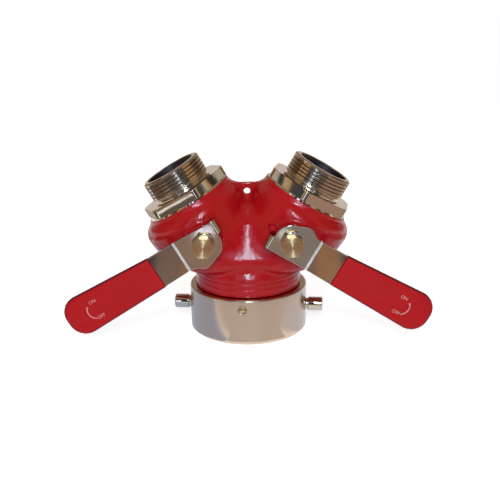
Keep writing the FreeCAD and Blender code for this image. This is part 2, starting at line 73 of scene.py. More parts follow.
def outlet_frame(side):
    """Z along the outlet from the ball's centre, Y to the back."""
    sign = SIDES[side]
    return place((sign * BALL_X, 0, BALL_Z), (LEAN_Z, 0, -sign * LEAN_X), (sign * LEAN_X, 0, LEAN_Z))


def lever_frame(side):
    """X along the lever from the ball's centre, Z to the front."""
    sign = SIDES[side]
    return place((sign * BALL_X, 0, BALL_Z), (sign * LEAN_Z, 0, -LEAN_X), (0, -1, 0))


def collar_radial(turn, height):
    """Z out of the collar at an angle from its right pin."""
    turn += COLLAR_TURN
    return place((0, 0, height), (0, 0, 1), (math.cos(turn), math.sin(turn), 0))


UPRIGHT = Matrix.Identity(4)


# Mesh helpers
def new_object(name, data):
    """An object in the scene."""
    item = bpy.data.objects.new(name, data)
    SCENE.collection.objects.link(item)
    return item


def new_piece(name, points, faces, at, body, material, sharp=35, turning=None):
    """A mesh piece from points in a frame, which rides on a body. Edges sharper than an angle stay crisp."""
    matrix = np.array(at)
    world = (np.asarray(points, float) @ matrix[:3, :3].T + matrix[:3, 3]) * MM
    mesh = bpy.data.meshes.new(name)
    mesh.from_pydata(world.tolist(), [], [tuple(map(int, face)) for face in faces])
    if turning is not None:
        mesh.uv_layers.new(name="turning").data.foreach_set("uv", np.asarray(turning, np.float32).ravel())
    tidy = bmesh.new()
    tidy.from_mesh(mesh)
    bmesh.ops.remove_doubles(tidy, verts=tidy.verts, dist=1e-7)
    bmesh.ops.dissolve_degenerate(tidy, edges=tidy.edges, dist=1e-8)
    bmesh.ops.recalc_face_normals(tidy, faces=tidy.faces)
    tidy.to_mesh(mesh)
    tidy.free()
    mesh.shade_smooth()
    mesh.set_sharp_from_angle(angle=math.radians(sharp))
    mesh.materials.append(material)
    piece = new_object(name, mesh)
    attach(piece, body)
    return piece


def local(points, at):
    """Radius from a frame's Z axis, level along it and the points in the frame."""
    inverse = np.array(at.inverted())
    moved = points @ inverse[:3, :3].T + inverse[:3, 3]
    return np.hypot(moved[:, 0], moved[:, 1]), moved[:, 2], moved


def paint_faces(piece, at, material, wanted):
    """Give another finish or a painted shade to the faces whose radius and level in a frame are wanted."""
    faces = piece.data.polygons
    centres = np.empty(len(faces) * 3)
    faces.foreach_get("center", centres)
    radius, level, _ = local(centres.reshape(-1, 3) / MM, at)
    finish = np.empty(len(faces), int)
    faces.foreach_get("material_index", finish)
    finish[wanted(radius, level)] = len(piece.data.materials)
    piece.data.materials.append(material)
    faces.foreach_set("material_index", finish)


def evaluated_mesh(item):
    """The mesh that an item's modifiers or text make."""
    return bpy.data.meshes.new_from_object(item.evaluated_get(bpy.context.evaluated_depsgraph_get()))


def bake(piece):
    """Keep what a piece's modifiers make as its mesh."""
    piece.data = evaluated_mesh(piece)
    piece.modifiers.clear()


def flatten_shading(piece):
    """Let large flat faces mirror as flat, and keep the rounding to the small faces beside them."""
    flat = piece.modifiers.new("flat_faces", "WEIGHTED_NORMAL")
    flat.weight = 100
    flat.keep_sharp = True
    bake(piece)


def cut_away(piece, tool):
    """Cut one piece with another, which goes."""
    cutter = piece.modifiers.new("cut", "BOOLEAN")
    cutter.object = tool
    cutter.solver = "EXACT"
    bake(piece)
    bpy.data.objects.remove(tool)


CORNER_SHARE = 0.45


def soften(section, radius, closed=False, steps=4):
    """Round the corners of a section with short arcs, which take up less than half of a side."""
    points = [Vector(point) for point in section]
    count = len(points)
    result = []
    for i, corner in enumerate(points):
        if not closed and i in (0, count - 1):
            result.append(corner)
            continue
        before = points[i - 1] - corner
        after = points[(i + 1) % count] - corner
        reach = min(radius, before.length * CORNER_SHARE, after.length * CORNER_SHARE)
        start = corner + before.normalized() * reach
        end = corner + after.normalized() * reach
        for k in range(steps + 1):
            t = k / steps
            result.append(start * (1 - t) ** 2 + corner * 2 * t * (1 - t) + end * t ** 2)
    return [(point.x, point.y) for point in result]


def revolve(section, shape=None, segments=144, start=0, closed=True):
    """Points, faces and turning coordinates of a section of (radius, height) turned about Z."""
    rows = np.array(section, float)
    count = len(rows)
    turns = start + np.arange(segments) * 2 * math.pi / segments
    radius = np.repeat(rows[:, :1], segments, 1)
    height = np.repeat(rows[:, 1:], segments, 1)
    if shape:
        radius = shape(radius, height, turns[None, :])
    points = np.stack((radius * np.cos(turns), radius * np.sin(turns), height), -1).reshape(-1, 3)
    i, j = np.meshgrid(np.arange(count if closed else count - 1), np.arange(segments), indexing="ij")
    i, j = i.ravel(), j.ravel()
    above, beside = (i + 1) % count, (j + 1) % segments
    low, high = i * segments, above * segments
    faces = np.stack((low + j, low + beside, high + beside, high + j), 1)
    travel = np.append(0, np.cumsum(np.hypot(*np.diff(np.vstack((rows, rows[:1])), axis=0).T)))
    across = np.stack((j, j + 1, j + 1, j), 1) / segments
    along = np.stack((travel[i], travel[i], travel[i + 1], travel[i + 1]), 1)
    return points, faces, np.stack((across, along), -1).reshape(-1, 2)


def hexagon(flats, turn):
    """Limit a turned radius to six flats, the first of which faces an angle."""
    def limit(radius, turns):
        offset = (turns - turn + math.pi / 6) % (math.pi / 3) - math.pi / 6
        return np.minimum(radius, flats / 2 / np.cos(offset))
    return limit


# Thread form: the flanks' steepness, and how much of it is cut off for a flat crest
THREAD_FLANK, THREAD_CREST = 3.0, 1.9


def thread_depth(height, turns, low, high, pitch, depth):
    """How far a screw thread is cut below its full radius, running out at both ends."""
    phase = (height / pitch - turns / (2 * math.pi)) % 1
    groove = np.clip(np.abs(phase * 2 - 1) * THREAD_FLANK - THREAD_CREST, 0, 1)
    run_out = np.clip((height - low) / pitch, 0, 1) * np.clip((high - height) / (0.5 * pitch), 0, 1)
    return depth * groove * run_out


def levels(low, high, step):
    """Even levels between two ends, about a step apart."""
    return np.linspace(low, high, max(2, round((high - low) / step) + 1))


def tube_faces(rows, count):
    """Faces of a tube of rows of points, with both ends closed."""
    faces = []
    for low in range(0, (rows - 1) * count, count):
        high = low + count
        for i in range(count):
            j = (i + 1) % count
            faces.append((low + i, low + j, high + j, high + i))
    faces.append(tuple(reversed(range(count))))
    faces.append(tuple(range((rows - 1) * count, rows * count)))
    return faces


def box_mesh(low, high):
    """Points and faces of a box between two corners."""
    points = [(x, y, z) for x in (low[0], high[0]) for y in (low[1], high[1]) for z in (low[2], high[2])]
    faces = [(0, 1, 3, 2), (4, 6, 7, 5), (0, 4, 5, 1), (2, 3, 7, 6), (0, 2, 6, 4), (1, 5, 7, 3)]
    return points, faces


# Materials, whose colour and gloss vary over the middle of a noise
NOISE_SPAN = (0.3, 0.7)


def new_material(name):
    """A material, its node tree and its shader."""
    material = bpy.data.materials.new(name)
    material.use_nodes = True
    tree = material.node_tree
    return material, tree, tree.nodes["Principled BSDF"]


def set_inputs(node, **values):
    """Set a node's inputs by their names, with underscores for spaces."""
    for name, value in values.items():
        node.inputs[name.replace("_", " ")].default_value = value


def new_node(tree, kind, **values):
    """A shader node with some of its inputs set."""
    node = tree.nodes.new("ShaderNode" + kind)
    set_inputs(node, **values)
    return node


def noise(tree, scale, detail=3, stretch=None):
    """A noise texture in metres of the object, or on the turning coordinates where a stretch is given."""
    if stretch:
        source = new_node(tree, "UVMap")
        source.uv_map = "turning"
        mapping = new_node(tree, "Mapping", Scale=stretch)
        tree.links.new(source.outputs["UV"], mapping.inputs["Vector"])
        out = mapping.outputs["Vector"]
    else:
        out = new_node(tree, "TexCoord").outputs["Object"]
    texture = new_node(tree, "TexNoise", Scale=scale, Detail=detail)
    tree.links.new(out, texture.inputs["Vector"])
    return texture.outputs["Fac"]


def grey(value):
    return (value, value, value)


def vary(tree, shader, name, factor, low, high):
    """Let a noise carry a shader's input from one colour or grey level to another."""
    node = new_node(tree, "ValToRGB")
    for element, position, colour in zip(node.color_ramp.elements, NOISE_SPAN, (low, high)):
        element.position = position
        element.color = (*colour, 1)
    tree.links.new(factor, node.inputs["Fac"])
    tree.links.new(node.outputs["Color"], shader.inputs[name])


def bump(tree, shader, height, distance, below=None):
    """Bumps of a height in metres on a shader, on top of another bump if there is one."""
    node = new_node(tree, "Bump", Distance=distance, Strength=1.0)
    tree.links.new(height, node.inputs["Height"])
    if below:
        tree.links.new(below, node.inputs["Normal"])
    tree.links.new(node.outputs["Normal"], shader.inputs["Normal"])
    return node.outputs["Normal"]


def red_enamel():
    """Thick gloss paint over a casting, with a slight orange peel."""
    material, tree, shader = new_material("red_enamel")
    set_inputs(shader, Specular_IOR_Level=0.35)
    vary(tree, shader, "Base Color", noise(tree, 45), (0.39, 0.003, 0.005), (0.44, 0.004, 0.007))
    vary(tree, shader, "Roughness", noise(tree, 220), grey(0.14), grey(0.22))
    lumps = bump(tree, shader, noise(tree, 120, 2), 0.00028)
    bump(tree, shader, noise(tree, 500, 2), 0.00014, below=lumps)
    return material


def turned_metal(name, colour, rough, streak, wave, anisotropic=0.0):
    """Plated or bare metal with faint rings from the lathe and a slightly wavy face."""
    material, tree, shader = new_material(name)
    set_inputs(shader, Metallic=1.0, Anisotropic=anisotropic, Anisotropic_Rotation=0.25)
    rings = noise(tree, 1, 4, stretch=(3, 2.2, 1))
    dark = tuple(0.95 * value for value in colour)
    vary(tree, shader, "Base Color", rings, dark, colour)
    vary(tree, shader, "Roughness", rings, grey(rough * 0.9), grey(rough * 1.1))
    buffed = bump(tree, shader, noise(tree, 110, 1), wave)
    bump(tree, shader, rings, streak, below=buffed)
    if anisotropic:
        tangent = new_node(tree, "Tangent")
        tangent.direction_type = "UV_MAP"
        tangent.uv_map = "turning"
        tree.links.new(tangent.outputs["Tangent"], shader.inputs["Tangent"])
    return material


def plated_steel():
    """Zinc-plated strip with faint rolling marks."""
    material, tree, shader = new_material("plated_steel")
    set_inputs(shader, Metallic=1.0)
    vary(tree, shader, "Base Color", noise(tree, 60), (0.50, 0.47, 0.41), (0.55, 0.52, 0.46))
    vary(tree, shader, "Roughness", noise(tree, 160), grey(0.07), grey(0.10))
    bump(tree, shader, noise(tree, 300), 0.00001)
    return material


def plain_metal(name, colour, rough):
    """Metal of one colour with slightly uneven gloss."""
    material, tree, shader = new_material(name)
    set_inputs(shader, Metallic=1.0)
    dark = tuple(0.9 * value for value in colour)
    vary(tree, shader, "Base Color", noise(tree, 90), dark, colour)
    vary(tree, shader, "Roughness", noise(tree, 200), grey(rough * 0.8), grey(rough * 1.2))
    return material


def soft_plastic(name, dark, light, rough, lumps):
    """Plastic, rubber or ink with slight lumps."""
    material, tree, shader = new_material(name)
    set_inputs(shader, Specular_IOR_Level=0.18)
    vary(tree, shader, "Base Color", noise(tree, 60), dark, light)
    vary(tree, shader, "Roughness", noise(tree, 150), grey(rough * 0.85), grey(rough * 1.15))
    bump(tree, shader, noise(tree, 350), lumps)
    return material


MATERIALS = {
    "red_enamel": red_enamel(),
    "nickel_plate": turned_metal("nickel_plate", (0.66, 0.58, 0.48), 0.035, 0.000001, 0.00001),
    "satin_plate": turned_metal("satin_plate", (0.60, 0.46, 0.36), 0.24, 0.00001, 0.00003, 0.7),
    "plated_steel": plated_steel(),
    "brass": turned_metal("brass", (0.72, 0.47, 0.245), 0.52, 0.00001, 0.00003, 0.95),
    "polished_ball": plain_metal("polished_ball", (0.72, 0.72, 0.72), 0.08),
    "red_vinyl": soft_plastic("red_vinyl", (0.43, 0.003, 0.005), (0.47, 0.004, 0.006), 0.42, 0.00006),
    "seat_plastic": soft_plastic("seat_plastic", (0.78, 0.77, 0.73), (0.85, 0.84, 0.80), 0.45, 0.00003),
    "rubber": soft_plastic("rubber", (0.016, 0.016, 0.016), (0.03, 0.03, 0.03), 0.6, 0.00006),
}

# Finishes for some faces of a piece, with painted shade and a painted highlight for others, and the print
THREAD_FINISH = turned_metal("thread_finish", (0.54, 0.445, 0.345), 0.17, 0.000002, 0.00002)
# Painted shade: dark brown in the thread's grooves, for the shade that falls in them
ROOT_SHADE = plain_metal("root_painted_shade", (0.28, 0.205, 0.15), 0.4)
# Painted shade: near black inside the bore, for the shade in the hollow
BORE_SHADE = plain_metal("bore_painted_shade", (0.05, 0.038, 0.038), 0.5)
# Painted highlight: near white on the lever's bend and fold lines, for their glint
CREASE_HIGHLIGHT = plain_metal("crease_painted_highlight", (0.93, 0.91, 0.88), 0.55)
# Painted shade: dark red on the grip's rim, where it turns away from the light
RIM_SHADE = soft_plastic("rim_painted_shade", (0.10, 0.003, 0.006), (0.13, 0.004, 0.008), 0.42, 0.00006)
MARK_INK = soft_plastic("mark_ink", (0.62, 0.24, 0.22), (0.68, 0.29, 0.26), 0.5, 0.00002)

# CAD nodes in the material of their slot
groups = frame["record"]["behaviour"]["bodies"]
node_bodies = {node: body for body, nodes in groups.items() for node in nodes}
node_slots = {part["node"]: part["material_slot"] for part in frame["record"]["subparts"]}
for node, item in frame["nodes"].items():
    item.data.materials.clear()
    item.data.materials.append(MATERIALS[node_slots[node]])


def stand_in(name, node, points, faces, at, **options):
    """A piece that is shown instead of a CAD node, and takes its body and slot."""
    slot = node_slots[node]
    piece = new_piece(name, points, faces, at, node_bodies[node], MATERIALS[slot], **options)
    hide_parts(node)
    return piece


def turned_stand_in(name, node, section, at, **options):
    """A stand-in turned from a section, with the options of revolve."""
    points, faces, turning = revolve(section, **options)
    return stand_in(name, node, points, faces, at, turning=turning)


# Cast body: a distance field of the casting's blends, meshed and drawn onto the field
DRUM_SHIFT = 3.3
BOWL_RADIUS, BOWL_FOOT, BOWL_RISE, BOWL_REACH, FRONT_RISE, FRONT_SPAN = 43, 52, 18, 47, 9, 25
NECK_RADIUS, NECK_BOTTOM, NECK_TOP, NECK_ROOT, NECK_CONE = 43.6, 38.6, 53.1, 3, 6.5
VALLEY_LEVELS, VALLEY_BLEND = (60, 70, 78, 86, 95, 105, 113), (24, 22, 17.2, 16.2, 19.4, 14, 6)
EAR_TOP, EAR_DROP, EAR_FLAT, EAR_FALL, EAR_REACH = 122.7, 2.6, 2, 11, 22
EAR_HALF, EAR_SPREAD = 2.0, 0.45
BOSS_RADIUS, FACE_LEVEL, INLET_BORE, SEAT_RADIUS, SEAT_LEVEL = 36.3, 28.5, 31.5, 24.7, 22.4
STOP_DISTANCE, STOP_ANGLES = 17, {"right": (176.5, 320.5), "left": (230.5, 86.7)}

# Round parts and hollows of the casting: radius, both ends and, for the parts, the rounding of the ends
DRUM, NECK = (42.3, -200, 26.3, 12), (NECK_RADIUS - 1.4, NECK_BOTTOM + 1, NECK_TOP + 2, 1)
BOSS, STEM_BOSS, STOP = (BOSS_RADIUS, 10, FACE_LEVEL, 0.8), (13.8, 32, 47.6, 0.9), (2.6, 34, 44, 0.7)
INLET_HOLLOW, STEM_HOLLOWS = (INLET_BORE, 20, 54), [(11.5, 39.5, 60), (10.3, 20, 34.2)]
OUTLET_HOLLOWS = [(BORE_RADIUS, -62, 40), (SEAT_RADIUS, -SEAT_LEVEL, 40), (31.05, -11, 40)]

# How widely each part runs into the rest of the casting
BLENDS = {"bowl": 9, "neck": 3, "ear": 7, "boss": 3.5, "stem_boss": 2.5, "stop": 1.6}


def smooth_min(a, b, blend):
    """The lower of two distances, rounded where they are nearly equal."""
    near = np.clip(blend - np.abs(a - b), 0, None) / blend
    return np.minimum(a, b) - near ** 2 * blend / 4


def smooth_max(a, b, blend):
    return -smooth_min(-a, -b, blend)


def rod(radius, along, reach, low, high, edge=0.0):
    """Distance to a round rod between two levels, with rounded ends."""
    side = radius - reach + edge
    end = np.maximum(along - high, low - along) + edge
    outside = np.hypot(np.clip(side, 0, None), np.clip(end, 0, None))
    return outside + np.minimum(np.maximum(side, end), 0) - edge


def drum_field(points, side):
    """One leaning drum, which runs on below the bowl."""
    at = outlet_frame(side) @ Matrix.Translation((SIDES[side] * DRUM_SHIFT, 0, 0))
    radius, along, _ = local(points, at)
    return rod(radius, along, *DRUM)


def ear_field(points):
    """The web between the outlets, with a low crown over the eye and a foot that spreads."""
    across = np.abs(points[:, 0])
    crown = EAR_TOP - EAR_DROP * np.clip((across - EAR_FLAT) / EAR_FALL, 0, 1) ** 1.6
    half = EAR_HALF + EAR_SPREAD * np.clip(EYE_HEIGHT - EYE_RADIUS - points[:, 2], 0, 20)
    plate = np.maximum(np.abs(points[:, 1]) - half, points[:, 2] - crown)
    return np.maximum(plate, across - EAR_REACH)


def neck_field(rho, up):
    """The neck under its rings, and the cone that leads up from the top ring."""
    slope = math.atan2(NECK_ROOT, NECK_CONE)
    cone = (rho - NECK_RADIUS) * math.cos(slope) + (up - NECK_TOP) * math.sin(slope)
    ends = np.maximum(NECK_TOP - 0.8 - up, up - NECK_TOP - 2 * NECK_CONE)
    flare = np.maximum(np.maximum(rho - NECK_RADIUS + 0.05, cone), ends)
    return np.minimum(flare, rod(rho, up, *NECK))


def body_field(points):
    """Signed distance to the casting, negative inside."""
    rho = np.hypot(points[:, 0], points[:, 1])
    up = points[:, 2]
    valley = np.interp(up, VALLEY_LEVELS, VALLEY_BLEND)
    shell = smooth_min(drum_field(points, "right"), drum_field(points, "left"), valley)
    slope = math.hypot(BOWL_REACH, BOWL_RISE)
    foot = BOWL_FOOT + FRONT_RISE * np.exp(-(points[:, 0] / FRONT_SPAN) ** 2)
    cone = ((rho - BOWL_RADIUS) * BOWL_RISE - (up - foot) * BOWL_REACH) / slope
    shell = smooth_max(shell, cone, BLENDS["bowl"])
    shell = smooth_min(shell, neck_field(rho, up), BLENDS["neck"])
    shell = smooth_min(shell, ear_field(points), BLENDS["ear"])
    hollow = rod(rho, up, *INLET_HOLLOW)
    for side in SIDES:
        radius, along, _ = local(points, outlet_frame(side))
        shell = smooth_min(shell, rod(radius, along, *BOSS), BLENDS["boss"])
        for step in OUTLET_HOLLOWS:
            hollow = np.minimum(hollow, rod(radius, along, *step))
    shell = np.maximum(shell, -hollow)
    for side in SIDES:
        radius, along, moved = local(points, lever_frame(side))
        shell = smooth_min(shell, rod(radius, along, *STEM_BOSS), BLENDS["stem_boss"])
        for angle in STOP_ANGLES[side]:
            turn = math.radians(angle)
            off = np.hypot(moved[:, 0] - STOP_DISTANCE * math.cos(turn),
                           moved[:, 1] - STOP_DISTANCE * math.sin(turn))
            shell = smooth_min(shell, rod(off, along, *STOP), BLENDS["stop"])
        for step in STEM_HOLLOWS:
            shell = np.maximum(shell, -rod(radius, along, *step))
    eye = np.hypot(points[:, 0], up - EYE_HEIGHT) - EYE_RADIUS
    return np.maximum(shell, -eye)


def field_slope(points, step=0.02):
    """How the distance changes along X, Y and Z."""
    columns = [body_field(points + axis * step) - body_field(points - axis * step) for axis in np.eye(3)]
    return np.stack(columns, 1) / (2 * step)


def make_cast_body():
    low, high, pitch = np.array((-86, -52, 34)), np.array((86, 52, 128)), 1.0
    band, longest_move = 5, 0.4
    counts = np.round((high - low) / pitch).astype(int)
    lines = [low[i] + pitch * np.arange(counts[i]) for i in range(3)]
    cells = np.stack(np.meshgrid(*lines, indexing="ij"), -1).reshape(-1, 3)
    field = body_field(cells).reshape(counts)
    grid = openvdb.FloatGrid(10.0)
    grid.copyFromArray(np.clip(field, -band, band).astype(np.float32))
    points, quads = grid.convertToQuads(isovalue=0.0)
    points = low + np.asarray(points, float) * pitch
    for _ in range(3):
        slope = field_slope(points)
        size = np.clip((slope ** 2).sum(1), 0.05, None)
        move = -(body_field(points) / size)[:, None] * slope
        points = points + np.clip(move, -longest_move, longest_move)
    stand_in("cast_body", "wye_body", points, quads, UPRIGHT, sharp=50)


def make_neck_rings():
    """The turned rings of the neck and the tail inside the collar."""
    ring, groove, tail, race = NECK_RADIUS, NECK_RADIUS - 0.3, 40.2, 37.8
    end, race_low, race_high = 22.5, 27.8, 32.8
    outside = [(tail, end), (tail, race_low), (race, race_low), (race, race_high), (tail, race_high),
               (tail, NECK_BOTTOM)]
    steps = [(ring, 0), (ring, 5.6), (groove, 6.2), (groove, 7), (ring, 7.6), (ring, 10), (groove, 10.6),
             (groove, 11.2), (ring, 11.8)]
    outside += [(radius, NECK_BOTTOM + rise) for radius, rise in steps]
    outside += [(ring, NECK_TOP), (ring - 4, NECK_TOP)]
    inside = [(INLET_BORE + 0.1, NECK_TOP), (INLET_BORE + 0.1, end)]
    points, faces, turning = revolve(soften(outside + inside, 0.35, closed=True), segments=192)
    piece = new_piece("neck_rings", points, faces, UPRIGHT, "valve_body", MATERIALS["red_enamel"],
                      turning=turning)


make_cast_body()
make_neck_rings()

# Outlet adapters: hex, undercut and hose thread
HEX_FLATS, HEX_CORNER, HEX_LOW, HEX_HIGH, HEX_CHAMFER, HEX_EDGE = 67, 37.8, 29.8, 38, 1.4, 0.7
HEX_TURN = {"right": math.radians(-9.8), "left": math.radians(20.5)}
SHANK_RADIUS, SHANK_END, SHANK_BEVEL = 31, 19.5, 0.8
MOUTH_LEVEL, MOUTH_BEVEL = 56.5, 1.5
HOSE_PITCH, HOSE_DEPTH, HOSE_ROWS, HOSE_ROOT = 2.82, 0.8, 32, 0.25
HOSE_LOW, HOSE_HIGH = HEX_HIGH + 2.6, MOUTH_LEVEL - 1.2


def adapter_section():
    """Section of an adapter: shank, hex, undercut, thread and mouth."""
    flange, undercut = BOSS_RADIUS - 0.9, THREAD_RADIUS - 1.9
    shank = [(BORE_RADIUS, SEAT_LEVEL), (SEAT_RADIUS, SEAT_LEVEL), (SEAT_RADIUS, SHANK_END),
             (SHANK_RADIUS - SHANK_BEVEL, SHANK_END), (SHANK_RADIUS, SHANK_END + SHANK_BEVEL),
             (SHANK_RADIUS, FACE_LEVEL), (flange, FACE_LEVEL), (flange, HEX_LOW)]
    curve = [(HEX_CORNER - HEX_CHAMFER * t ** 1.5, HEX_EDGE * (1 - t)) for t in levels(0, 1, 0.25)]
    chamfer = [(radius, HEX_LOW + rise) for radius, rise in reversed(curve)]
    chamfer += [(HEX_CORNER, HEX_LOW + 0.8), (HEX_CORNER, HEX_HIGH - 0.8)]
    chamfer += [(radius, HEX_HIGH - rise) for radius, rise in curve]
    root = soften([(HEX_CORNER - 1.6, HEX_HIGH), (undercut, HEX_HIGH), (undercut, HEX_HIGH + 1.6),
                   (THREAD_RADIUS, HEX_HIGH + 2.2), (THREAD_RADIUS, HOSE_LOW)], 0.3)
    ridges = [(THREAD_RADIUS, level) for level in levels(HOSE_LOW, HOSE_HIGH, HOSE_PITCH / HOSE_ROWS)]
    mouth = soften([(THREAD_RADIUS, HOSE_HIGH), (THREAD_RADIUS - MOUTH_BEVEL, MOUTH_LEVEL),
                    (BORE_RADIUS + 2.2, MOUTH_LEVEL), (BORE_RADIUS + 1.6, MOUTH_LEVEL - 0.7),
                    (BORE_RADIUS, MOUTH_LEVEL - 14), (BORE_RADIUS, SEAT_LEVEL + 0.1)], 0.3)
    return shank + chamfer + root + ridges + mouth


def in_hose_thread(height):
    return (height > HOSE_LOW) & (height < HOSE_HIGH)


def make_adapter(side):
    limit = hexagon(HEX_FLATS, HEX_TURN[side])

    def shape(radius, height, turns):
        on_hex = (height > HEX_LOW - 0.01) & (height < HEX_HIGH + 0.01) & (radius > THREAD_RADIUS + 1)
        radius = np.where(on_hex, limit(radius, turns), radius)
        on_thread = in_hose_thread(height) & (radius > THREAD_RADIUS - 0.1)
        cut = thread_depth(height, turns, HOSE_LOW, HOSE_HIGH, HOSE_PITCH, HOSE_DEPTH)
        return np.where(on_thread, radius - cut, radius)

    at = outlet_frame(side)
    piece = turned_stand_in(side + "_nipple", side + "_outlet_adapter", adapter_section(), at, shape=shape,
                            segments=240, start=HEX_TURN[side] + math.pi / 6)
    paint_faces(piece, at, THREAD_FINISH, lambda radius, level: level > HEX_HIGH + 0.3)
    # Painted shade in the grooves of the hose thread
    paint_faces(piece, at, ROOT_SHADE,
                lambda radius, level: in_hose_thread(level) & (radius < THREAD_RADIUS - HOSE_ROOT))
    # Painted shade inside the bore
    paint_faces(piece, at, BORE_SHADE,
                lambda radius, level: (level < MOUTH_LEVEL - 0.5) & (radius < BORE_RADIUS + 2))


for side in SIDES:
    make_adapter(side)

# Swivel inlet: collar with a hose thread, two pins and the race's plug
COLLAR_RADIUS, COLLAR_HEIGHT, COLLAR_BORE = 48.6, 38, 40.5
RACE_RADIUS, RACE_LOW, RACE_HIGH = 43, 27.6, 33
INLET_PITCH, INLET_RIDGE = 3.39, 1.9
PIN_HEIGHT, PIN_RADIUS, PIN_ROOT, PIN_REACH = 18.6, 5.9, 42.8, 62.5
PLUG_HEIGHT, PLUG_RADIUS, PLUG_TURN, PLUG_ROOT = 30.3, 3.4, -math.pi / 2, 43
PLUG_SLOT, PLUG_SLOT_DEPTH = 1, 1.1


def make_collar():
    def shape(radius, height, turns):
        on_thread = (radius < INLET_MINOR + 0.01) & (height > 0.6) & (height < INLET_DEPTH)
        cut = thread_depth(height, turns, -1, INLET_DEPTH + 2, INLET_PITCH, INLET_RIDGE)
        return np.where(on_thread, radius + INLET_RIDGE - cut, radius)

    wall, top = COLLAR_RADIUS, COLLAR_HEIGHT
    foot = soften([(INLET_MINOR + 2.2, 0), (wall - 1.6, 0), (wall, 1.6), (wall, 5)], 0.3)
    side = [(wall, level) for level in levels(6, top - 4, 1)]
    head = soften([(wall, top - 3), (wall, top - 0.8), (wall - 0.8, top), (COLLAR_BORE, top),
                   (COLLAR_BORE, RACE_HIGH), (RACE_RADIUS, RACE_HIGH), (RACE_RADIUS, RACE_LOW),
                   (COLLAR_BORE, RACE_LOW), (COLLAR_BORE, INLET_DEPTH), (INLET_MINOR + 1, INLET_DEPTH)], 0.3)
    ridges = [(INLET_MINOR, level) for level in levels(INLET_DEPTH - 0.1, 0.7, -INLET_PITCH / 12)]
    piece = turned_stand_in("collar", "inlet_swivel", foot + side + head + ridges, UPRIGHT, shape=shape,
                            segments=192)
    inner, outer = RACE_RADIUS - 2, COLLAR_RADIUS + 6.4
    hole = [(0, inner), (PLUG_RADIUS, inner), (PLUG_RADIUS, outer), (0, outer)]
    points, faces, _ = revolve(hole, segments=48, closed=False)
    at = collar_radial(PLUG_TURN, PLUG_HEIGHT)
    cut_away(piece, new_piece("tool", points, faces, at, "inlet_collar", MATERIALS["satin_plate"]))
    paint_faces(piece, UPRIGHT, MATERIALS["nickel_plate"], lambda radius, level: level > COLLAR_HEIGHT - 0.2)


def make_pin(side, turn):
    """A pin with a groove where it leaves the collar."""
    full, groove, wall = PIN_RADIUS - 0.03, PIN_RADIUS - 1, COLLAR_RADIUS
    section = soften([(0, PIN_ROOT), (full, PIN_ROOT), (full, wall), (groove, wall + 0.4),
                      (groove, wall + 1.6), (full, wall + 2.2), (full, PIN_REACH - 0.8),
                      (full - 0.9, PIN_REACH), (0, PIN_REACH)], 0.3)
    turned_stand_in(side + "_pin", side + "_lug_pin", section, collar_radial(turn, PIN_HEIGHT), segments=64,
                    closed=False)


def make_plug():
    """A slotted screw plug, just below the collar's face."""
    radius, high = PLUG_RADIUS - 0.1, COLLAR_RADIUS - 0.3
    section = soften([(0, PLUG_ROOT), (radius, PLUG_ROOT), (radius, high), (0, high)], 0.35)
    at = collar_radial(PLUG_TURN, PLUG_HEIGHT)
    piece = turned_stand_in("plug", "race_plug", section, at, segments=48, closed=False)
    slot = box_mesh((-PLUG_SLOT / 2, -5, high - PLUG_SLOT_DEPTH), (PLUG_SLOT / 2, 5, high + 1))
    cut_away(piece, new_piece("tool", *slot, at, "inlet_collar", MATERIALS["brass"]))


make_collar()
make_pin("right", 0)
make_pin("left", math.pi)
make_plug()

# Lever: a cranked strip with a folded tab
LEVER_BACK, LEVER_GAUGE = 49.4, 4
LEVER_HALF, LEVER_END_HALF, HEAD_RADIUS = 12.5, 14, 14.5
TAB_START, TAB_GAUGE, TAB_DEPTH, TAB_EDGE, FOLD_RADIUS = 17.6, 3.2, 6.4, -2, 3.8
BEND_START, BEND_END, BEND_ROUND, CRANK_RISE = 19.5, 43, 1.3, 3.7
CREASE_HALF, FOLD_LINE, LEVER_EDGE = 1.0, 14, 0.45
GRIP_START, GRIP_END, GRIP_SKIN = 41, 123.2, 1.6
METAL_END = GRIP_END - 6


def crank(along):
    """How far the strip is offset to the front along the lever, with rounded bends."""
    spots = np.linspace(-30, 140, 3401)
    corner = BEND_ROUND
    slope = (np.clip((spots - BEND_START + corner) / (2 * corner), 0, 1)
             - np.clip((spots - BEND_END + corner) / (2 * corner), 0, 1))
    rise = np.cumsum(slope)
    return np.interp(along, spots, rise / rise[-1] * CRANK_RISE)


def fold_drop(along):
    """How far the front face falls away where the head folds back into the tab."""
    past = np.clip(-along - TAB_START + FOLD_RADIUS, 0, FOLD_RADIUS)
    return FOLD_RADIUS - np.sqrt(FOLD_RADIUS ** 2 - past ** 2)


def lever_outline():
    """Head with one straight and one round side, on a strip that widens."""
    head, inner = HEAD_RADIUS, TAB_GAUGE - TAB_START
    sides = [(METAL_END, -LEVER_END_HALF), (METAL_END, LEVER_END_HALF)]
    shoulder = [(24, LEVER_HALF + 0.1), (17, LEVER_HALF), (14, LEVER_HALF + 1.2), (9.2, head + 2.7),
                (6, head + 3.2), (-3, head - 0.3)]
    turns = np.radians(np.arange(106, 187, 4))
    arc = [(max(head * math.cos(a), inner + 0.05), head * math.sin(a)) for a in turns]
    tab = [(inner, TAB_EDGE), (-TAB_START, TAB_EDGE), (-TAB_START, -LEVER_HALF)]
    return sides + soften(shoulder, 1.5) + arc + tab


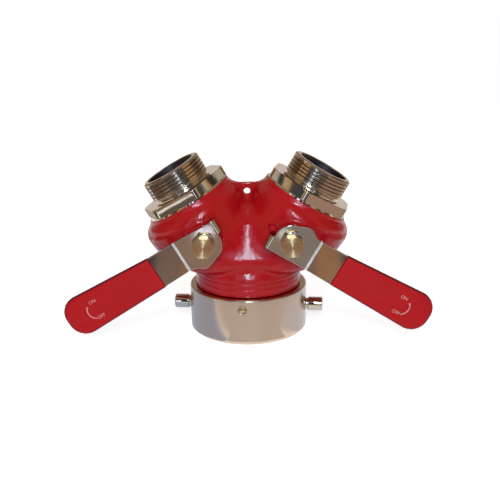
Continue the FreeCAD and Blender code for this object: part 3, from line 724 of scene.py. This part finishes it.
def crease_faces(piece, at):
    """A painted highlight, a pale finish, on the lines where the strip is bent and where the tab is folded."""
    index = len(piece.data.materials)
    piece.data.materials.append(CREASE_HIGHLIGHT)
    inverse = at.inverted()
    for face in piece.data.polygons:
        spot = inverse @ (face.center / MM)
        at_bend = abs(spot.x - BEND_START) < CREASE_HALF
        at_fold = abs(spot.x + FOLD_LINE) < CREASE_HALF and spot.y < TAB_EDGE
        if spot.z > LEVER_BACK + 1.5 and (at_bend or at_fold):
            face.material_index = index


def on_tab_back(spot):
    """Whether a point of the flat plate lies on the back of the tab."""
    return abs(spot.z - LEVER_BACK) < 0.001 and spot.x < TAB_GAUGE - TAB_START + 0.001


def raise_faces(work, faces, height):
    """Draw faces out of a plate along Z, with walls."""
    drawn = bmesh.ops.extrude_face_region(work, geom=faces)
    for item in drawn["geom"]:
        if isinstance(item, bmesh.types.BMVert):
            item.co.z += height


def make_lever(side):
    at = lever_frame(side)
    work = bmesh.new()
    work.faces.new([work.verts.new((u, v, LEVER_BACK)) for u, v in lever_outline()])
    bends = [spot + shift for spot in (BEND_START, BEND_END) for shift in levels(-1.4, 1.4, 0.4)]
    fold = [FOLD_RADIUS * (1 - math.sin(a)) - TAB_START for a in np.radians(levels(0, 80, 10))]
    for cut in [*bends, *fold, TAB_GAUGE - TAB_START]:
        everything = work.verts[:] + work.edges[:] + work.faces[:]
        bmesh.ops.bisect_plane(work, geom=everything, plane_co=(cut, 0, 0), plane_no=(1, 0, 0))
    raise_faces(work, work.faces[:], LEVER_GAUGE)
    tab = [face for face in work.faces if all(on_tab_back(vertex.co) for vertex in face.verts)]
    raise_faces(work, tab, -TAB_DEPTH)
    for vertex in work.verts:
        if vertex.co.z > LEVER_BACK + LEVER_GAUGE / 2:
            vertex.co.z -= float(fold_drop(vertex.co.x))
        vertex.co.z += float(crank(vertex.co.x))
    bmesh.ops.recalc_face_normals(work, faces=work.faces)
    rims = [edge for edge in work.edges if edge.calc_face_angle(0) > math.radians(50)]
    bmesh.ops.bevel(work, geom=rims, offset=LEVER_EDGE, segments=3, affect="EDGES", profile=0.5)
    work.verts.index_update()
    points = [vertex.co[:] for vertex in work.verts]
    faces = [[vertex.index for vertex in face.verts] for face in work.faces]
    work.free()
    piece = stand_in(side + "_strip", side + "_lever", points, faces, at)
    flatten_shading(piece)
    crease_faces(piece, at)


# Grip: dipped vinyl with a soft rounded edge, and painted shade on the rim that turns away from the front,
# reaching further round below
GRIP_FLARE, GRIP_TIP, GRIP_MOUTH, GRIP_EDGE, GRIP_DOME = 2.6, 14, 1.2, 2.6, 0.3
UPPER_RIM, LOWER_RIM = math.cos(math.radians(48)), math.cos(math.radians(33))


def round_corner(corner, before, after, radius, steps=16):
    """Points of a true arc that rounds a corner between two directions."""
    half = before.angle(after) / 2
    reach = radius / math.tan(half)
    centre = corner + (before + after).normalized() * radius / math.sin(half)
    start = corner + before * reach - centre
    turn = math.pi - 2 * half
    sign = 1 if before.x * after.y - before.y * after.x < 0 else -1
    return [centre + Matrix.Rotation(sign * turn * k / steps, 2) @ start for k in range(steps + 1)]


def grip_outline(shrink):
    """The sleeve's outline moved inwards: a strip that widens to a round tip."""
    near, far = LEVER_HALF + 0.8 - shrink, LEVER_END_HALF + GRIP_FLARE - shrink
    start, end = GRIP_START + shrink, GRIP_END - shrink
    corners = [(start, -near), (end, -far), (end, far), (start, near)]
    points = []
    for i, corner in enumerate(corners):
        corner = Vector(corner)
        before = Vector(corners[i - 1]) - corner
        after = Vector(corners[(i + 1) % 4]) - corner
        radius = max(0.3, (GRIP_TIP if corner.x > start + 1 else GRIP_MOUTH) - shrink)
        points += round_corner(corner, before.normalized(), after.normalized(), radius)
    return points


def make_grip(side):
    middle = LEVER_BACK + CRANK_RISE + LEVER_GAUGE / 2
    half = LEVER_GAUGE / 2 + GRIP_SKIN
    profile = [(GRIP_EDGE * (1 - math.sin(a)), half - GRIP_DOME - GRIP_EDGE * (1 - math.cos(a)))
               for a in np.radians(levels(90, 0, -15))]
    profile += [(GRIP_EDGE + 2.5, half - 0.4 * GRIP_DOME), (GRIP_EDGE + 5.5, half)]
    rows = [(amount, -level) for amount, level in reversed(profile)] + profile
    points = []
    for amount, level in rows:
        points += [(point.x, point.y, middle + level) for point in grip_outline(amount)]
    faces = tube_faces(len(rows), len(points) // len(rows))
    piece = stand_in(side + "_handle", side + "_grip", points, faces, lever_frame(side))
    # Painted shade on the faces that turn away from the front, more of them on the lower side
    piece.data.materials.append(RIM_SHADE)
    for face in piece.data.polygons:
        rim = LOWER_RIM if face.normal.z < 0 else UPPER_RIM
        face.material_index = int(abs(face.normal.y) < rim)


# Marks on the grip: two words and an arrow between them
MARK_LEVEL, MARK_SIZE, MARK_RELIEF = 58.65, 3.8, 0.2
WORDS = {"ON": (96.5, 6.0), "OFF": (96.9, -7.3)}
ARROW_CENTRE, ARROW_RADIUS, ARROW_WIDTH, ARROW_HEAD = (97.6, -0.9), 7, 0.8, 1.1
ARROW_START, ARROW_NECK, ARROW_TIP = -62, 40, 50


def make_word(name, word, at, body):
    """A word in raised letters."""
    curve = bpy.data.curves.new(name, "FONT")
    curve.body = word
    curve.size = MARK_SIZE
    curve.extrude = MARK_RELIEF
    curve.align_x = "CENTER"
    curve.align_y = "CENTER"
    item = new_object(name, curve)
    mesh = evaluated_mesh(item)
    bpy.data.objects.remove(item)
    points = [vertex.co[:] for vertex in mesh.vertices]
    faces = [face.vertices[:] for face in mesh.polygons]
    new_piece(name, points, faces, at, body, MARK_INK)


def make_arrow(name, at, body, sign):
    """A flat arc that bulges to the lever's tip, with a head at its upper end."""
    rows = [(turn, ARROW_WIDTH / 2) for turn in levels(ARROW_START, ARROW_NECK, 6)]
    rows += [(ARROW_NECK, ARROW_HEAD), (ARROW_TIP, 0.02)]
    corners = [(-1, -1), (-1, 1), (1, 1), (1, -1)]
    points = []
    for turn, half in rows:
        angle = math.radians(turn)
        for outwards, upwards in corners:
            radius = ARROW_RADIUS + outwards * half
            points.append((sign * (ARROW_CENTRE[0] + radius * math.cos(angle)),
                           ARROW_CENTRE[1] + radius * math.sin(angle), MARK_LEVEL + upwards * MARK_RELIEF))
    faces = tube_faces(len(rows), len(corners))
    new_piece(name, points, faces, at, body, MARK_INK)


def make_marks(side):
    """The marks read upright on both levers."""
    sign = SIDES[side]
    at = lever_frame(side) @ Matrix.Rotation(0 if sign > 0 else math.pi, 4, "Z")
    for word, (along, up) in WORDS.items():
        spot = at @ Matrix.Translation((sign * along, up, MARK_LEVEL))
        make_word(f"{side}_mark_{word}", word, spot, side + "_valve")
    make_arrow(side + "_mark_arrow", at, side + "_valve", sign)


for side in SIDES:
    make_lever(side)
    make_grip(side)
    make_marks(side)

# Stem, spring washer and nut
STEM_RADIUS, STEM_THREAD, STEM_END, STEM_PITCH, STEM_DEPTH, STEM_SEAT = 7, 4.6, 64.2, 1.25, 0.45, 32.95
NUT_FLATS, NUT_FACE, NUT_TURN, NUT_CHAMFER, NUT_CORNER = 15, 64.1, math.radians(5), 1.1, 1.1
WASHER_GAUGE, WASHER_RADIUS = 1.6, 9
LEVER_FRONT = LEVER_BACK + LEVER_GAUGE
BALL_RADIUS = 28.5


def make_stem(side):
    def shape(radius, height, turns):
        cut = thread_depth(height, turns, LEVER_FRONT, STEM_END - 0.4, STEM_PITCH, STEM_DEPTH)
        return np.where((height > LEVER_FRONT) & (radius > STEM_THREAD - 0.01), radius - cut, radius)

    shoulder, start = STEM_RADIUS + 2.9, BALL_RADIUS + 0.3
    shaft = soften([(0, start), (shoulder, start), (shoulder, STEM_SEAT), (STEM_RADIUS, STEM_SEAT),
                    (STEM_RADIUS, LEVER_BACK), (STEM_THREAD, LEVER_BACK), (STEM_THREAD, LEVER_FRONT)], 0.2)
    ridges = [(STEM_THREAD, level) for level in levels(LEVER_FRONT + 0.1, STEM_END - 0.8, STEM_PITCH / 10)]
    tip = soften([(STEM_THREAD, STEM_END - 0.3), (STEM_THREAD - 0.2, STEM_END), (0, STEM_END)], 0.2)
    turned_stand_in(side + "_spindle", side + "_stem", shaft + ridges + tip, lever_frame(side), shape=shape,
                    segments=64, closed=False)


def make_nut(side):
    low, reach = LEVER_FRONT + WASHER_GAUGE, NUT_FLATS / 2
    corner = reach * NUT_CORNER
    limit = hexagon(NUT_FLATS, NUT_TURN * SIDES[side])

    def shape(radius, height, turns):
        return np.where(radius > reach - 0.01, limit(radius, turns), radius)

    curve = [(reach + (corner - reach) * math.sin(t), NUT_CHAMFER * (1 - math.cos(t)))
             for t in levels(0, 1.57, 0.2)]
    chamfer = [(radius, low + rise) for radius, rise in curve]
    chamfer += [(radius, NUT_FACE - rise) for radius, rise in reversed(curve)]
    section = [(STEM_THREAD + 0.05, low), *chamfer, (STEM_THREAD + 0.05, NUT_FACE)]
    turned_stand_in(side + "_nut", side + "_stem_nut", section, lever_frame(side), shape=shape, segments=120,
                    start=NUT_TURN * SIDES[side] + math.pi / 6)


def make_washer(side):
    """A split spring washer, pressed flat."""
    low, high = LEVER_FRONT + 0.02, LEVER_FRONT + WASHER_GAUGE - 0.02
    bore, reach = STEM_THREAD + 0.3, WASHER_RADIUS
    ring = soften([(bore, low), (reach, low), (reach, high), (bore, high)], 0.25, closed=True)
    turns = np.radians(levels(4, 356, 4))
    points = [(r * math.cos(a), r * math.sin(a), z) for a in turns for r, z in ring]
    faces = tube_faces(len(turns), len(ring))
    stand_in(side + "_spring_washer", side + "_lock_washer", points, faces, lever_frame(side))


def make_ball(side):
    """The drilled ball, turned about its bore, which lies along the lever."""
    edge = math.acos(BORE_RADIUS / BALL_RADIUS)
    section = [(BALL_RADIUS * math.cos(a), BALL_RADIUS * math.sin(a)) for a in levels(-edge, edge, 0.03)]
    rim = BALL_RADIUS * math.sin(edge)
    section += [(BORE_RADIUS - 0.3, rim - 0.3), (BORE_RADIUS - 0.3, 0.3 - rim)]
    along = lever_frame(side) @ Matrix.Rotation(math.pi / 2, 4, "Y")
    turned_stand_in(side + "_globe", side + "_ball", section, along, segments=160)


for side in SIDES:
    make_stem(side)
    make_nut(side)
    make_washer(side)
    make_ball(side)


# Stage: floor, light, camera and the room that the metal mirrors
FLOOR_GLOW, FLOOR_REACH, WORLD_FILL = 0.6, 8, 0.44
CAMERA_PLACE, CAMERA_PITCH, CAMERA_ROLL, CAMERA_LENS = (0.0018, -0.640, 0.266), 17.45, -0.75, 58.03
FRONT_DARK, GOLD, BROWN = (0.07, 0.075, 0.09), (0.60, 0.38, 0.18), (0.14, 0.09, 0.05)
BACK_TONE = (0.36, 0.28, 0.22)
CREAM, BEIGE, BLACK, STREAK = (0.80, 0.70, 0.56), (0.57, 0.52, 0.46), (0.015, 0.015, 0.02), (1.4, 1.65, 2.4)

# Cards of the room above and behind, as turns to the right and rises in degrees and a colour
ROOM_REACH, ROOM_LEVEL = 1.5, 0.09
ROOM = {
    "ceiling": ((-180, 180), (38, 80), (0.34, 0.28, 0.22)),
    "back_wall": ((150, 210), (-3, 12), (0.68, 0.60, 0.55)),
    "back_wall_top": ((150, 210), (12, 38), (0.34, 0.25, 0.20)),
}

# Cards of the wall from the left back round the front to the right back: where each starts, and its colour
WALL_RISE, WALL_END = (-3, 38), 150
WALL = {
    "left_back": (-150, BACK_TONE),
    "left_wall": (-122, BROWN),
    "left_gold": (-82, GOLD),
    "left_stripe_a": (-72, BEIGE),
    "left_stripe_b": (-69.66, BLACK),
    "left_stripe_c": (-69.0, CREAM),
    "left_stripe_d": (-68.85, GOLD),
    "left_stripe_e": (-68.25, FRONT_DARK),
    "left_gold_end": (-66, GOLD),
    "left_front": (-46, FRONT_DARK),
    "left_streak": (-26, STREAK),
    "left_gap": (-19, FRONT_DARK),
    "middle_gap": (-4, (0.40, 0.37, 0.38)),
    "right_gap": (4, FRONT_DARK),
    "right_streak": (10, STREAK),
    "right_front": (17, FRONT_DARK),
    "right_gold": (46, GOLD),
    "right_wall": (82, BROWN),
    "right_stripe": (89.5, FRONT_DARK),
    "right_stripe_a": (90.7, CREAM),
    "right_stripe_b": (90.95, GOLD),
    "right_stripe_c": (91.35, BLACK),
    "right_stripe_d": (92.25, BEIGE),
    "right_wall_end": (93.4, BROWN),
    "right_back": (122, BACK_TONE),
}

# Patches on the floor round the valve, each a little above the last, as corners and a colour
PATCH_LEVEL, PATCH_STEP = 0.4, 0.2
TABLE = {
    "far": ([(-600, -1480), (600, -1480), (600, -408), (-600, -408)], (0.10, 0.09, 0.095)),
    "front": ([(-177, -205), (-105, -440), (135, -440), (150, -205)], (0.38, 0.31, 0.28)),
    "front_edge": ([(-177, -205), (-105, -440), (-88, -440), (-160, -205)], (0.15, 0.125, 0.10)),
    "front_left": ([(-95, -205), (-80, -440), (0, -440), (0, -205)], (0.425, 0.275, 0.215)),
    "left_card": ([(-63, -412), (-43, -412), (-42, -366), (-63, -366)], (1.9, 1.9, 2.4)),
    "right_card": ([(36, -390), (48, -390), (46, -352), (34, -356)], (1.35, 1.43, 1.55)),
    "outer_left": ([(-180, -205), (-117, -408), (-400, -408), (-400, 60), (-187, 60)], (0.17, 0.11, 0.075)),
    "left_brown": ([(-180, -205), (-117, -408), (-140, -408), (-203, -205)], (0.30, 0.20, 0.145)),
    "outer_right": ([(150, -205), (135, -408), (400, -408), (400, 100), (165, 100)], (0.45, 0.31, 0.25)),
    "left_shade": ([(-20, -50), (-165, -86), (-165, 80), (-30, 80)], (0.48, 0.58, 0.78)),
    "right_shade": ([(44, -50), (150, -70), (150, 80), (30, 80)], (0.80, 0.86, 0.98)),
    "back_left": ([(-260, 90), (-110, 130), (-110, 440), (-260, 440)], (0.46, 0.385, 0.35)),
    "back_right": ([(110, 130), (260, 90), (260, 440), (110, 440)], (0.62, 0.56, 0.50)),
    "near_front": ([(-24, -57), (-160, -92), (-160, -198), (150, -198), (150, -70), (44, -50), (20, -30),
                    (-10, -30)], (0.76, 0.74, 0.73)),
}

# Low screens in front of the valve, as a span and a colour
SCREENS = {"left_screen": ((-30, 2), (0.30, 0.20, 0.155)), "right_screen": ((2, 30), (0.50, 0.26, 0.14))}
SCREEN_FRONT, SCREEN_LOW, SCREEN_HIGH = -330, 2, 48


def new_stage(name, points, faces, kind, colour):
    """A stage item of one colour, lit or shining by itself."""
    mesh = bpy.data.meshes.new(name)
    mesh.from_pydata(points, [], faces)
    material, tree, _ = new_material(name)
    tree.nodes.clear()
    shader = new_node(tree, kind, Color=(*colour, 1))
    out = new_node(tree, "OutputMaterial")
    tree.links.new(shader.outputs[0], out.inputs["Surface"])
    mesh.materials.append(material)
    item = new_object(name, mesh)
    return item, tree, shader, out


def shows_background(tree):
    """1 for the rays that show the background to the camera, in a mirror or through glass."""
    path = new_node(tree, "LightPath")
    out = path.outputs["Is Camera Ray"]
    for name in ("Is Glossy Ray", "Is Transmission Ray"):
        either = new_node(tree, "Math")
        either.operation = "MAXIMUM"
        tree.links.new(out, either.inputs[0])
        tree.links.new(path.outputs[name], either.inputs[1])
        out = either.outputs["Value"]
    return out


def make_floor():
    """A pale floor that the camera sees as white where no shadow falls."""
    far = FLOOR_REACH
    corners = [(-far, -far, 0), (far, -far, 0), (far, far, 0), (-far, far, 0)]
    _, tree, shader, out = new_stage("floor", corners, [(0, 1, 2, 3)], "BsdfDiffuse", grey(0.9))
    glow = new_node(tree, "Emission")
    scale = new_node(tree, "Math")
    scale.operation = "MULTIPLY"
    scale.inputs[1].default_value = FLOOR_GLOW
    tree.links.new(shows_background(tree), scale.inputs[0])
    tree.links.new(scale.outputs["Value"], glow.inputs["Strength"])
    both = new_node(tree, "AddShader")
    tree.links.new(shader.outputs[0], both.inputs[0])
    tree.links.new(glow.outputs[0], both.inputs[1])
    tree.links.new(both.outputs[0], out.inputs["Surface"])


def new_card(name, points, faces, colour):
    """A stage item that shines by itself and only shows in the mirror images in metal and gloss."""
    card = new_stage(name, points, faces, "Emission", colour)[0]
    card.visible_camera = False
    card.visible_diffuse = False
    card.visible_transmission = False
    card.visible_shadow = False


def make_card(name, turn, rise, colour, steps=12):
    """A curved card of the room between two turns and two rises."""
    points = []
    for angle in np.radians(np.linspace(*turn, steps + 1)):
        for height in rise:
            level = ROOM_LEVEL + ROOM_REACH * math.tan(math.radians(height))
            points.append((ROOM_REACH * math.sin(angle), -ROOM_REACH * math.cos(angle), level))
    new_card(name, points, [(i, i + 2, i + 3, i + 1) for i in range(0, 2 * steps, 2)], colour)


def make_patch(name, corners, colour, layer):
    """A patch of colour on the floor."""
    level = PATCH_LEVEL + PATCH_STEP * layer
    new_card(name, [(x * MM, y * MM, level * MM) for x, y in corners], [tuple(range(len(corners)))], colour)


def make_screen(name, span, colour):
    """A low upright screen."""
    corners = [(span[0], SCREEN_LOW), (span[1], SCREEN_LOW), (span[1], SCREEN_HIGH), (span[0], SCREEN_HIGH)]
    new_card(name, [(x * MM, SCREEN_FRONT * MM, z * MM) for x, z in corners], [(0, 1, 2, 3)], colour)


def make_world():
    """White where it is seen or mirrored, softer as a light."""
    world = bpy.data.worlds.new("studio")
    SCENE.world = world
    world.use_nodes = True
    tree = world.node_tree
    tree.nodes.clear()
    mix = new_node(tree, "MixShader")
    tree.links.new(shows_background(tree), mix.inputs["Fac"])
    for index, strength in ((1, WORLD_FILL), (2, 1.0)):
        white = new_node(tree, "Background", Color=(1, 1, 1, 1), Strength=strength)
        tree.links.new(white.outputs["Background"], mix.inputs[index])
    out = new_node(tree, "OutputWorld")
    tree.links.new(mix.outputs["Shader"], out.inputs["Surface"])


def make_lamp(name, location, target, size, power, colour=(1, 1, 1)):
    """An oval lamp that points at a target."""
    lamp = bpy.data.lights.new(name, "AREA")
    lamp.shape = "ELLIPSE"
    lamp.size, lamp.size_y = size
    lamp.energy = power
    lamp.color = colour
    item = new_object(name, lamp)
    item.location = location
    item.rotation_euler = (Vector(target) - Vector(location)).to_track_quat("-Z", "Y").to_euler()
    return item


def make_camera():
    """In front and a little above, turned slightly about its own axis."""
    pitch, roll = math.radians(CAMERA_PITCH), math.radians(CAMERA_ROLL)
    camera = bpy.data.cameras.new("camera")
    camera.sensor_width = 36
    camera.lens = CAMERA_LENS
    item = new_object("camera", camera)
    base = Matrix.Rotation(math.pi / 2 - pitch, 4, "X") @ Matrix.Rotation(roll, 4, "Z")
    item.matrix_world = Matrix.Translation(CAMERA_PLACE) @ base
    SCENE.camera = item


SCENE.view_settings.view_transform = "Standard"
make_world()
make_floor()
for name, (turn, rise, colour) in ROOM.items():
    make_card(name, turn, rise, colour)
wall_ends = [turn for turn, _ in WALL.values()][1:] + [WALL_END]
for (name, (turn, colour)), turn_end in zip(WALL.items(), wall_ends):
    make_card(name, (turn, turn_end), WALL_RISE, colour)
for layer, (name, (corners, colour)) in enumerate(TABLE.items()):
    make_patch(name, corners, colour, layer)
for name, (span, colour) in SCREENS.items():
    make_screen(name, span, colour)
make_lamp("key", location=(0.0, -0.85, 0.62), target=(0, 0, 0.07), size=(0.15, 0.46), power=5.4,
          colour=(0.56, 0.81, 1.0))
front_fill = make_lamp("front_fill", location=(0.0, -1.7, 0.9), target=(0, 0, 0.08), size=(1.2, 1.2),
                       power=6.0)
front_fill.visible_glossy = False
make_camera()
